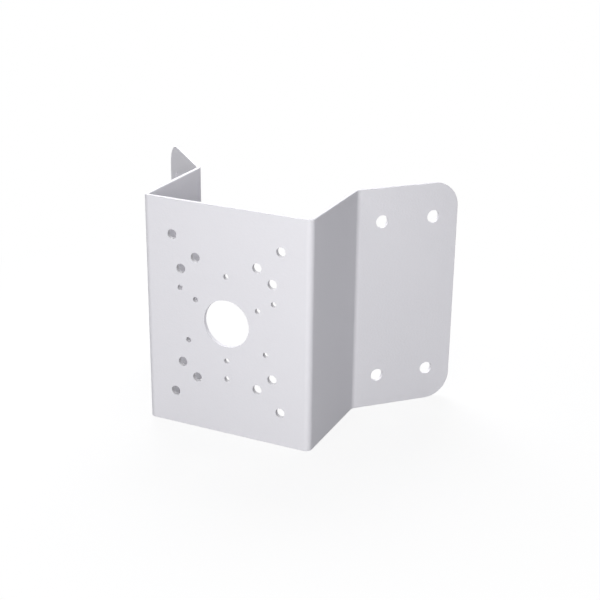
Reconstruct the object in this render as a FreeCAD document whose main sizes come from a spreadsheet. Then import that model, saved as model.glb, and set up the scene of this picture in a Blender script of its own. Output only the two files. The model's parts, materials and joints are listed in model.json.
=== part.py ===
import FreeCAD, Part
import enum
import math
import os

import Sketcher

# Corner bracket for a camera: one steel sheet, drilled and folded four times.
# The plate carries the camera. A web stands back from each side of it at a right angle,
# and a wing opens from each web at 45 degrees, to lie on a wall of an outside corner.
# Frame: +X to the right of the plate, +Y from the plate back to the walls, +Z up.
# The origin is at the middle of the footprint, at the height of the lower edges.

# Lengths are in millimetres and angles in degrees.
# A spacing is from one hole's centre to the next one's.
# The web's depth and the wing's length are measured to the line where their faces would meet.
# A bend's radius is its inner one. The shallow bends at the wings are wider than the square ones.
SIZES = (
    ("sheetThickness", 3.0),
    ("plateBendRadius", 1.5),
    ("wingBendRadius", 5.0),
    ("edgeRound", 0.5),
    ("plateWidth", 129.0),
    ("plateHeight", 170.0),
    ("webDepth", 76.5),
    ("wingLength", 78.5),
    ("wingAngle", 45.0),
    ("wingCornerRadius", 19.0),
    ("cableHole", 35.0),
    ("cameraHole", 7.0),
    ("outerSpacingAcross", 83.5),
    ("outerSpacingUp", 119.0),
    ("innerSpacingAcross", 47.5),
    ("innerSpacingUp", 90.5),
    ("cameraCircle", 100.0),
    ("ringScrews", 4),
    ("domeHole", 4.0),
    ("smallDomeCircle", 56.0),
    ("middleDomeCircle", 70.0),
    ("largeDomeCircle", 84.0),
    ("domeScrews", 3),
    ("wallHole", 9.5),
    ("wallSpacingAcross", 40.0),
    ("wallSpacingUp", 120.0),
)


class Axis(enum.IntEnum):
    """How a sketch numbers its own axes."""
    X = -1
    Y = -2


class Point(enum.IntEnum):
    """How a sketch numbers the points of an edge."""
    START = 1
    END = 2
    CENTRE = 3


ORIGIN = (Axis.X, Point.START)
UP = FreeCAD.Vector(0, 0, 1)
TOUCH = 0.001
SMOOTH = math.radians(5)
PLATE_MIDDLE = "Sizes.plateHeight / 2"

doc = FreeCAD.newDocument("CornerBracket")

sheet = doc.addObject("Spreadsheet::Sheet", "Sizes")
for row, (alias, number) in enumerate(SIZES, start=1):
    sheet.set(f"A{row}", alias)
    sheet.set(f"B{row}", str(number))
    sheet.setAlias(f"B{row}", alias)
doc.recompute()

body = doc.addObject("PartDesign::Body", "Bracket")
body.Label = "corner_bracket"


def worth(expression):
    """What an expression over the sheet's sizes comes to."""
    result = sheet.evalExpression(expression)
    return float(getattr(result, "Value", result))


def planeOf(role):
    """One of the body's own origin planes."""
    return next(item for item in body.Origin.OriginFeatures if item.Role == role)


def sketchOn(plane, name):
    """A new sketch that lies flat on a plane of the body."""
    sketch = body.newObject("Sketcher::SketchObject", name)
    sketch.AttachmentSupport = [(plane, "")]
    sketch.MapMode = "FlatFace"
    return sketch


def plateSketch(name):
    """A sketch on the plate's front face, about the plate's middle."""
    sketch = sketchOn(planeOf("XZ_Plane"), name)
    sketch.setExpression("AttachmentOffset.Base.y", PLATE_MIDDLE)
    return sketch


def line(sketch, start, end):
    """A straight edge between two points of the sketch."""
    return sketch.addGeometry(Part.LineSegment(FreeCAD.Vector(*start), FreeCAD.Vector(*end)))


def bend(sketch, centre, radius, start, end):
    """A round edge between two angles in degrees, counted anticlockwise."""
    circle = Part.Circle(centre, UP, radius)
    return sketch.addGeometry(Part.ArcOfCircle(circle, math.radians(start), math.radians(end)))


def relate(sketch, *relations):
    """Add constraints that hold no size."""
    for relation in relations:
        sketch.addConstraint(Sketcher.Constraint(*relation))


def measure(sketch, expression, *where):
    """Add one constraint whose length comes from the sheet."""
    number = sketch.addConstraint(Sketcher.Constraint(*where, worth(expression)))
    sketch.setExpression(f"Constraints[{number}]", f"({expression}) * 1 mm")


def turn(sketch, expression, edge):
    """Add one constraint that sets an edge's angle from the sheet."""
    radians = math.radians(worth(expression))
    number = sketch.addConstraint(Sketcher.Constraint("Angle", edge, radians))
    sketch.setExpression(f"Constraints[{number}]", f"({expression}) * 1 deg")


def hold(sketch, circle, direction, distance, axis):
    """Keep a circle's centre at a signed distance from the origin, or on the axis itself."""
    if abs(worth(distance)) < TOUCH:
        relate(sketch, ("PointOnObject", circle, Point.CENTRE, axis))
    elif worth(distance) > 0:
        measure(sketch, distance, direction, *ORIGIN, circle, Point.CENTRE)
    else:
        measure(sketch, f"-({distance})", direction, circle, Point.CENTRE, *ORIGIN)


def drill(sketch, right, up, diameter):
    """A round hole, so far to the right of the sketch's origin and so far above it."""
    centre = FreeCAD.Vector(worth(right), worth(up))
    circle = sketch.addGeometry(Part.Circle(centre, UP, worth(diameter) / 2))
    hold(sketch, circle, "DistanceX", right, Axis.Y)
    hold(sketch, circle, "DistanceY", up, Axis.X)
    measure(sketch, diameter, "Diameter", circle)


def settle(feature, before):
    """Make a cutting feature the body's tip and see that it takes material away."""
    body.Tip = feature
    doc.recompute()
    if feature.Shape.Volume > before - TOUCH:
        raise RuntimeError(f"{feature.Name} cuts nothing")
    return feature


def cutThrough(sketch, name):
    """Cut a sketch's circles through the sheet, from the face that they are drawn on."""
    before = body.Tip.Shape.Volume
    pocket = body.newObject("PartDesign::Pocket", name)
    pocket.Profile = sketch
    pocket.Type = "Length"
    pocket.Reversed = False
    pocket.setExpression("Length", "Sizes.sheetThickness")
    return settle(pocket, before)


def repeatRound(pocket, sketch, copies, name):
    """Repeat a pocket evenly round the sketch's origin."""
    before = pocket.Shape.Volume
    pattern = body.newObject("PartDesign::PolarPattern", name)
    pattern.Originals = [pocket]
    pattern.Axis = (sketch, ["N_Axis"])
    pattern.Angle = 360
    pattern.setExpression("Occurrences", copies)
    return settle(pattern, before)


def mirror(feature, name):
    """Repeat a feature on the other side of the bracket's middle."""
    mirrored = body.newObject("PartDesign::Mirrored", name)
    mirrored.Originals = [feature]
    mirrored.MirrorPlane = (planeOf("YZ_Plane"), [""])
    body.Tip = mirrored
    doc.recompute()
    return mirrored


def roundOff(base, edges, radius, name):
    """Round some edges of the feature before."""
    fillet = body.newObject("PartDesign::Fillet", name)
    fillet.Base = (base, edges)
    fillet.setExpression("Radius", radius)
    doc.recompute()
    return fillet


def edgesAt(shape, points):
    """The edges whose middles are at some points."""
    return [
        f"Edge{number}"
        for number, edge in enumerate(shape.Edges, start=1)
        if min(edge.CenterOfMass.distanceToPoint(point) for point in points) < TOUCH
    ]


def sharpEdges(shape):
    """The edges where two faces meet at a corner and not in a smooth bend."""
    sharp = []
    for number, edge in enumerate(shape.Edges, start=1):
        point = edge.valueAt((edge.FirstParameter + edge.LastParameter) / 2)
        faces = shape.ancestorsOfType(edge, Part.Face)
        first, second = [face.normalAt(*face.Surface.parameter(point)) for face in faces]
        if first.cross(second).Length > math.sin(SMOOTH):
            sharp.append(f"Edge{number}")
    return sharp


# The folded sheet, seen from above. Its right half is drawn, from the plate's middle out.
# First come the places of its corners and bends, from the sizes.
thick = worth("Sizes.sheetThickness")
plateInside = worth("Sizes.plateBendRadius")
plateOutside = plateInside + thick
wingInside = worth("Sizes.wingBendRadius")
wingOutside = wingInside + thick
height = worth("Sizes.plateHeight")
half = worth("Sizes.plateWidth / 2")
depth = worth("Sizes.webDepth")
angle = worth("Sizes.wingAngle")
along = FreeCAD.Vector(math.cos(math.radians(angle)), math.sin(math.radians(angle)))
across = FreeCAD.Vector(-along.y, along.x)
plateBend = FreeCAD.Vector(half - plateOutside, plateOutside)
bendStart = depth - wingInside * math.tan(math.radians(90 - angle) / 2)
wingBend = FreeCAD.Vector(half + wingInside, bendStart)
tip = FreeCAD.Vector(half, depth) + along * worth("Sizes.wingLength")

profile = sketchOn(planeOf("XY_Plane"), "FoldedProfile")
plateFront = line(profile, (0, 0), (plateBend.x, 0))
plateBendOuter = bend(profile, plateBend, plateOutside, -90, 0)
webOuter = line(profile, (half, plateBend.y), (half, bendStart))
wingBendInner = bend(profile, wingBend, wingInside, 90 + angle, 180)
wingFront = line(profile, wingBend + across * wingInside, tip)
wingEnd = line(profile, tip, tip + across * thick)
wingBack = line(profile, tip + across * thick, wingBend + across * wingOutside)
wingBendOuter = bend(profile, wingBend, wingOutside, 90 + angle, 180)
webInner = line(profile, (half - thick, bendStart), (half - thick, plateBend.y))
plateBendInner = bend(profile, plateBend, plateInside, -90, 0)
plateBack = line(profile, (plateBend.x, thick), (0, thick))
middle = line(profile, (0, thick), (0, 0))

relate(
    profile,
    ("Coincident", plateFront, Point.START, *ORIGIN),
    ("Tangent", plateFront, Point.END, plateBendOuter, Point.START),
    ("Tangent", plateBendOuter, Point.END, webOuter, Point.START),
    ("Tangent", webOuter, Point.END, wingBendInner, Point.END),
    ("Tangent", wingBendInner, Point.START, wingFront, Point.START),
    ("Coincident", wingFront, Point.END, wingEnd, Point.START),
    ("Coincident", wingEnd, Point.END, wingBack, Point.START),
    ("Tangent", wingBack, Point.END, wingBendOuter, Point.START),
    ("Tangent", wingBendOuter, Point.END, webInner, Point.START),
    ("Tangent", webInner, Point.END, plateBendInner, Point.END),
    ("Tangent", plateBendInner, Point.START, plateBack, Point.START),
    ("Coincident", plateBack, Point.END, middle, Point.START),
    ("Coincident", middle, Point.END, plateFront, Point.START),
    ("Horizontal", plateFront),
    ("Horizontal", plateBack),
    ("Vertical", webOuter),
    ("Vertical", webInner),
    ("Vertical", middle),
    ("Perpendicular", wingFront, wingEnd),
    ("Perpendicular", wingEnd, wingBack),
    ("Coincident", plateBendOuter, Point.CENTRE, plateBendInner, Point.CENTRE),
    ("Coincident", wingBendInner, Point.CENTRE, wingBendOuter, Point.CENTRE),
)
measure(profile, "Sizes.sheetThickness", "DistanceY", middle, Point.END, middle, Point.START)
measure(profile, "Sizes.plateBendRadius", "Radius", plateBendInner)
measure(profile, "Sizes.wingBendRadius", "Radius", wingBendInner)
measure(profile, "Sizes.plateWidth / 2", "DistanceX", *ORIGIN, webOuter, Point.START)
turn(profile, "Sizes.wingAngle", wingFront)
wingTip = (*ORIGIN, wingFront, Point.END)
tipRight = "Sizes.plateWidth / 2 + Sizes.wingLength * cos(Sizes.wingAngle)"
tipBack = "Sizes.webDepth + Sizes.wingLength * sin(Sizes.wingAngle)"
measure(profile, tipRight, "DistanceX", *wingTip)
measure(profile, tipBack, "DistanceY", *wingTip)

rightHalf = body.newObject("PartDesign::Pad", "RightHalf")
rightHalf.Profile = profile
rightHalf.setExpression("Length", "Sizes.plateHeight")
doc.recompute()
foldedSheet = mirror(rightHalf, "FoldedSheet")

# The wings' outer corners are round, and the edges all round the sheet are a little rounded.
tipMiddle = tip + across * thick / 2
tipCorners = [
    FreeCAD.Vector(side * tipMiddle.x, tipMiddle.y, level)
    for side in (-1, 1)
    for level in (0, height)
]
roundWings = roundOff(
    foldedSheet, edgesAt(foldedSheet.Shape, tipCorners), "Sizes.wingCornerRadius", "RoundWings"
)
roundOff(roundWings, sharpEdges(roundWings.Shape), "Sizes.edgeRound", "RoundEdges")

# One large hole for the cable in the middle of the plate.
cable = plateSketch("CableSketch")
drill(cable, "0", "0", "Sizes.cableHole")
cutThrough(cable, "CableHole")

# Two rectangles of screw holes, for junction boxes and camera feet of two sizes.
boxes = plateSketch("BoxScrewSketch")
for wide, high in (
    ("Sizes.outerSpacingAcross", "Sizes.outerSpacingUp"),
    ("Sizes.innerSpacingAcross", "Sizes.innerSpacingUp"),
):
    for side in (-1, 1):
        for end in (-1, 1):
            drill(boxes, f"{side} * {wide} / 2", f"{end} * {high} / 2", "Sizes.cameraHole")
cutThrough(boxes, "BoxScrewHoles")

# Four screw holes on a circle, at its diagonals.
ring = plateSketch("RingScrewSketch")
ringRight = "Sizes.cameraCircle / 2 * cos(45)"
ringUp = "Sizes.cameraCircle / 2 * sin(45)"
drill(ring, ringRight, ringUp, "Sizes.cameraHole")
repeatRound(cutThrough(ring, "RingScrewHole"), ring, "Sizes.ringScrews", "RingScrewHoles")

# Small holes on three circles, for round camera bases held by three screws each.
domes = plateSketch("DomeScrewSketch")
drill(domes, "0", "-Sizes.smallDomeCircle / 2", "Sizes.domeHole")
drill(domes, "0", "Sizes.middleDomeCircle / 2", "Sizes.domeHole")
drill(domes, "0", "-Sizes.largeDomeCircle / 2", "Sizes.domeHole")
repeatRound(cutThrough(domes, "DomeScrewHole"), domes, "Sizes.domeScrews", "DomeScrewHoles")

# Four holes about the middle of each wing, for the screws into the wall.
wingFace = body.newObject("PartDesign::Plane", "WingFace")
wingFace.AttachmentSupport = [(planeOf("XZ_Plane"), "")]
wingFace.MapMode = "FlatFace"
wingTurn = FreeCAD.Rotation(FreeCAD.Vector(0, 1, 0), angle)
wingFace.AttachmentOffset = FreeCAD.Placement(FreeCAD.Vector(), wingTurn)
wingFace.setExpression("AttachmentOffset.Rotation.Angle", "Sizes.wingAngle * 1 deg")
wingFace.setExpression("AttachmentOffset.Base.x", "Sizes.plateWidth / 2")
wingFace.setExpression("AttachmentOffset.Base.y", PLATE_MIDDLE)
wingFace.setExpression("AttachmentOffset.Base.z", "-Sizes.webDepth")
doc.recompute()

wall = sketchOn(wingFace, "WallScrewSketch")
for side in (-1, 1):
    column = f"(Sizes.wingLength + {side} * Sizes.wallSpacingAcross) / 2"
    for end in (-1, 1):
        drill(wall, column, f"{end} * Sizes.wallSpacingUp / 2", "Sizes.wallHole")
rightHoles = cutThrough(wall, "RightWallHoles")
settle(mirror(rightHoles, "LeftWallHoles"), rightHoles.Shape.Volume)

# The plate stands in front of the origin by half of the whole depth, to the rounded wing tips.
body.setExpression(
    "Placement.Base.y",
    "-(Sizes.webDepth + (Sizes.wingLength - Sizes.edgeRound) * sin(Sizes.wingAngle)"
    " + (Sizes.sheetThickness - Sizes.edgeRound) * cos(Sizes.wingAngle) + Sizes.edgeRound) / 2",
)
doc.recompute()

for item in doc.Objects:
    if "Invalid" in item.State or "Error" in item.State:
        raise RuntimeError(f"{item.Label} did not build")
if not profile.FullyConstrained:
    raise RuntimeError("the profile has a size that nothing sets")
bracket = body.Shape
if bracket.isNull() or not bracket.isValid() or len(bracket.Solids) != 1:
    raise RuntimeError(f"{body.Label} is not one sound solid")

os.makedirs("parts", exist_ok=True)
bracket.exportStep(f"parts/{body.Label}.step")

box = bracket.optimalBoundingBox()
print(f"{body.Label}: {box.XLength:.2f} x {box.YLength:.2f} x {box.ZLength:.2f} mm")
print(f"volume {bracket.Volume / 1000:.2f} cubic centimetres, {len(bracket.Faces)} faces")
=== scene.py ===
import json
import math

import bpy
from mathutils import Matrix, Vector


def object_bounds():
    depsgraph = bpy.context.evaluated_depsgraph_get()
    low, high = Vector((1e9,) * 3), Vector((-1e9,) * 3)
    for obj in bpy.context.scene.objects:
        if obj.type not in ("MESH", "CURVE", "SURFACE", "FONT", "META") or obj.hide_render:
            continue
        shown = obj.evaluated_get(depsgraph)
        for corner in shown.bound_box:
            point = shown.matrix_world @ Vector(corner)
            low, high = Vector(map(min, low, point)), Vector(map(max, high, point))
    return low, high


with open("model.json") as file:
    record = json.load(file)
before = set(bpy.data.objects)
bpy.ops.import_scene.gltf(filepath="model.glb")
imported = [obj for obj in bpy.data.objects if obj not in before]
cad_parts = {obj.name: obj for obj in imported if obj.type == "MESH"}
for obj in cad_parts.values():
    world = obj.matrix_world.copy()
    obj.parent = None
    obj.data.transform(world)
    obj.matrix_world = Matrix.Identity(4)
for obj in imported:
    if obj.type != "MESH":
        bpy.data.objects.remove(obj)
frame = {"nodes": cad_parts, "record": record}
cadLow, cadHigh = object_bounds()
plateMiddle = Vector((0, cadLow.y, (cadLow.z + cadHigh.z) / 2))   # on its front face
millimetre = 0.001
scene = bpy.context.scene
print("frame loaded:", sorted(frame["nodes"]))


def newMaterial(name):
    material = bpy.data.materials.new(name)
    material.use_nodes = True
    nodes = material.node_tree.nodes
    nodes.clear()
    return material, nodes, material.node_tree.links


# White powder coat: smooth, satin, with the faint orange peel that the melted powder leaves, and painted
# shade on the walls of its narrow holes.
coatSettings = {
    "colour": (0.795, 0.788, 0.811, 1),
    "shade": (0.785, 0.778, 0.801, 1),    # where the coat lies a little thicker
    "patchSize": 0.045,                   # metres from one thicker patch to the next
    "roughness": (0.46, 0.54),
    "specular": 0.35,
    "peelSize": 0.0016,
    "peelDepth": 0.0001,
    "grainSize": 0.0004,
    "grainDepth": 0.00003,
    "holeWallShade": (0.47, 0.466, 0.479, 1),   # painted shade on the walls of the plate's narrow holes
    "holesReach": (0.058, 0.078),         # metres from the plate's middle that they take up, across and up
    "rim": 0.0001,                        # metres kept clear at the plate's faces and round the cable hole
}


# Painted shade mask: white on the walls of the plate's narrow holes, and black elsewhere.
def makeHoleShadeMask(settings, nodes, links, place):
    cable = next(mount["dims"] for mount in frame["record"]["mounts"] if mount["name"] == "cable_hole")
    cableRadius = cable["r_mm"] * millimetre
    plateDepth = cable["length_mm"] * millimetre
    holesAcross, holesUp = settings["holesReach"]

    def vectorMath(operation, first, second=None):
        node = nodes.new("ShaderNodeVectorMath")
        node.operation = operation
        links.new(first, node.inputs[0])
        if second:
            node.inputs[1].default_value = second
        return node.outputs

    def compare(operation, value, limit):
        node = nodes.new("ShaderNodeMath")
        node.operation = operation
        links.new(value, node.inputs[0])
        node.inputs[1].default_value = limit
        return node.outputs[0]

    def both(first, second):
        node = nodes.new("ShaderNodeMath")
        node.operation = "MULTIPLY"
        links.new(first, node.inputs[0])
        links.new(second, node.inputs[1])
        return node.outputs[0]

    middle = (0, plateMiddle.y + plateDepth / 2, plateMiddle.z)
    away = vectorMath("SUBTRACT", place, middle)["Vector"]
    flat = vectorMath("MULTIPLY", away, (1, 0, 1))["Vector"]
    radius = vectorMath("LENGTH", flat)["Value"]
    shadeMask = compare("GREATER_THAN", radius, cableRadius + settings["rim"])
    parts = nodes.new("ShaderNodeSeparateXYZ")
    links.new(vectorMath("ABSOLUTE", away)["Vector"], parts.inputs[0])
    limits = {"X": holesAcross, "Y": plateDepth / 2 - settings["rim"], "Z": holesUp}
    for axis, limit in limits.items():
        shadeMask = both(shadeMask, compare("LESS_THAN", parts.outputs[axis], limit))
    return shadeMask


def makePowderCoat(settings):
    material, nodes, links = newMaterial("powderCoat")
    place = nodes.new("ShaderNodeTexCoord")

    def noise(size, detail):
        node = nodes.new("ShaderNodeTexNoise")
        node.inputs["Scale"].default_value = 1 / size
        node.inputs["Detail"].default_value = detail
        links.new(place.outputs["Object"], node.inputs["Vector"])
        return node.outputs["Fac"]

    patches = noise(settings["patchSize"], detail=3)
    colour = nodes.new("ShaderNodeMix")
    colour.data_type = "RGBA"
    colour.inputs["A"].default_value = settings["shade"]
    colour.inputs["B"].default_value = settings["colour"]
    links.new(patches, colour.inputs["Factor"])
    # Painted shade: the walls of the plate's narrow holes get a darker colour than the coat.
    holeShade = nodes.new("ShaderNodeMix")
    holeShade.data_type = "RGBA"
    holeShade.inputs["B"].default_value = settings["holeWallShade"]
    links.new(makeHoleShadeMask(settings, nodes, links, place.outputs["Object"]), holeShade.inputs["Factor"])
    links.new(colour.outputs["Result"], holeShade.inputs["A"])
    gloss = nodes.new("ShaderNodeMapRange")
    gloss.inputs["To Min"].default_value, gloss.inputs["To Max"].default_value = settings["roughness"]
    links.new(patches, gloss.inputs["Value"])
    peel = nodes.new("ShaderNodeBump")
    peel.inputs["Distance"].default_value = settings["peelDepth"]
    links.new(noise(settings["peelSize"], detail=1), peel.inputs["Height"])
    grain = nodes.new("ShaderNodeBump")
    grain.inputs["Distance"].default_value = settings["grainDepth"]
    links.new(noise(settings["grainSize"], detail=0), grain.inputs["Height"])
    links.new(peel.outputs["Normal"], grain.inputs["Normal"])
    surface = nodes.new("ShaderNodeBsdfPrincipled")
    surface.inputs["Specular IOR Level"].default_value = settings["specular"]
    links.new(holeShade.outputs["Result"], surface.inputs["Base Color"])
    links.new(gloss.outputs["Result"], surface.inputs["Roughness"])
    links.new(grain.outputs["Normal"], surface.inputs["Normal"])
    output = nodes.new("ShaderNodeOutputMaterial")
    links.new(surface.outputs["BSDF"], output.inputs["Surface"])
    return material


powderCoat = makePowderCoat(coatSettings)
bracket = frame["nodes"]["corner_bracket"]
bracket.data.materials.clear()
bracket.data.materials.append(powderCoat)
print("bracket coated")


# The floor and the world are white to the camera, to gloss and to glass. This picks out those rays.
def makeWhiteRays(nodes, links):
    rays = nodes.new("ShaderNodeLightPath").outputs
    seen = rays["Is Camera Ray"]
    for ray in ("Is Glossy Ray", "Is Transmission Ray"):
        either = nodes.new("ShaderNodeMath")
        either.operation = "MAXIMUM"
        links.new(seen, either.inputs[0])
        links.new(rays[ray], either.inputs[1])
        seen = either.outputs[0]
    return seen


# A pale floor, all but white, with the bracket's soft shadow on it.
floorSettings = {
    "size": 12.0,
    "colour": (0.35, 0.35, 0.35, 1),       # what it throws back at the bracket
    "seenColour": (0.95, 0.95, 0.95, 1),   # what those rays see of it in the light
    "white": (0.87, 1.0),                  # share of plain white beside the bracket and far away
    "fade": (0.14, 0.40),                  # metres from the bracket's middle between which it grows
}


def makeFloor(settings):
    bpy.ops.mesh.primitive_plane_add(size=settings["size"], location=(0, 0, cadLow.z))
    floor = bpy.context.object
    floor.name = "studioFloor"
    material, nodes, links = newMaterial("studioFloor")
    seen = makeWhiteRays(nodes, links)
    colour = nodes.new("ShaderNodeMix")
    colour.data_type = "RGBA"
    colour.inputs["A"].default_value = settings["colour"]
    colour.inputs["B"].default_value = settings["seenColour"]
    links.new(seen, colour.inputs["Factor"])
    paint = nodes.new("ShaderNodeBsdfDiffuse")
    links.new(colour.outputs["Result"], paint.inputs["Color"])
    place = nodes.new("ShaderNodeTexCoord")
    distance = nodes.new("ShaderNodeVectorMath")
    distance.operation = "LENGTH"
    links.new(place.outputs["Object"], distance.inputs[0])
    white = nodes.new("ShaderNodeMapRange")
    white.interpolation_type = "SMOOTHSTEP"
    white.inputs["From Min"].default_value, white.inputs["From Max"].default_value = settings["fade"]
    white.inputs["To Min"].default_value, white.inputs["To Max"].default_value = settings["white"]
    links.new(distance.outputs["Value"], white.inputs["Value"])
    share = nodes.new("ShaderNodeMath")
    share.operation = "MULTIPLY"
    links.new(seen, share.inputs[0])
    links.new(white.outputs["Result"], share.inputs[1])
    glow = nodes.new("ShaderNodeEmission")
    glow.inputs["Strength"].default_value = 1
    mix = nodes.new("ShaderNodeMixShader")
    links.new(share.outputs[0], mix.inputs["Fac"])
    links.new(paint.outputs["BSDF"], mix.inputs[1])
    links.new(glow.outputs["Emission"], mix.inputs[2])
    output = nodes.new("ShaderNodeOutputMaterial")
    links.new(mix.outputs["Shader"], output.inputs["Surface"])
    floor.data.materials.append(material)


makeFloor(floorSettings)
print("floor made")


# Even light from all round, and soft boxes: where each stands, its side in metres, its power in watts.
lightSettings = {
    "world": 0.15,
    "worldColour": (0.95, 0.95, 1.18, 1),
    "boxes": {
        "lowFront": {"at": (0.40, -0.95, 0.25), "size": 0.5, "power": 6.31},
        "highFront": {"at": (0.0, -0.71, 0.85), "size": 0.6, "power": 2.69},
        "behind": {"at": (-0.22, 0.54, 0.85), "size": 0.6, "power": 7.88},
        "behindLeft": {"at": (-0.72, 0.54, 0.43), "size": 0.6, "power": 3.53},
    },
}


def makeLights(settings):
    world = bpy.data.worlds.new("studio")
    scene.world = world
    world.use_nodes = True
    nodes, links = world.node_tree.nodes, world.node_tree.links
    nodes.clear()
    ambient = nodes.new("ShaderNodeBackground")
    ambient.inputs["Color"].default_value = settings["worldColour"]
    ambient.inputs["Strength"].default_value = settings["world"]
    white = nodes.new("ShaderNodeBackground")
    white.inputs["Color"].default_value = (1, 1, 1, 1)
    mix = nodes.new("ShaderNodeMixShader")
    links.new(makeWhiteRays(nodes, links), mix.inputs["Fac"])
    links.new(ambient.outputs["Background"], mix.inputs[1])
    links.new(white.outputs["Background"], mix.inputs[2])
    output = nodes.new("ShaderNodeOutputWorld")
    links.new(mix.outputs["Shader"], output.inputs["Surface"])
    for name, box in settings["boxes"].items():
        light = bpy.data.lights.new(name, "AREA")
        light.shape = "SQUARE"
        light.size = box["size"]
        light.energy = box["power"]
        lamp = bpy.data.objects.new(name, light)
        scene.collection.objects.link(lamp)
        lamp.location = box["at"]
        lamp.rotation_euler = (plateMiddle - lamp.location).to_track_quat("-Z", "Y").to_euler()


makeLights(lightSettings)
print("lights made")


# The photograph's own view, found by fitting the bracket's edges and holes to it.
cameraSettings = {
    "azimuth": 24.87,     # degrees to the right of the plate
    "elevation": 21.70,
    "roll": 0.69,
    "distance": 0.8947,   # metres
    "lens": 77.43,        # millimetres
    "aimRight": 0.0511,   # metres from the plate's middle, across and up the view
    "aimUp": 0.0168,
}


def makeCamera(settings):
    azimuth = math.radians(settings["azimuth"])
    elevation = math.radians(settings["elevation"])
    level = math.cos(elevation)
    back = Vector((math.sin(azimuth) * level, -math.cos(azimuth) * level, math.sin(elevation)))
    right = Vector((0, 0, 1)).cross(back).normalized()
    up = back.cross(right)
    roll = Matrix.Rotation(math.radians(settings["roll"]), 3, back)
    right, up = roll @ right, roll @ up
    aim = plateMiddle + right * settings["aimRight"] + up * settings["aimUp"]
    camera = bpy.data.objects.new("photoCamera", bpy.data.cameras.new("photoCamera"))
    scene.collection.objects.link(camera)
    camera.data.lens = settings["lens"]
    turned = Matrix((right, up, back)).transposed().to_4x4()
    camera.matrix_world = Matrix.Translation(aim + back * settings["distance"]) @ turned
    scene.camera = camera


makeCamera(cameraSettings)
scene.view_settings.view_transform = "Standard"
print("camera made")
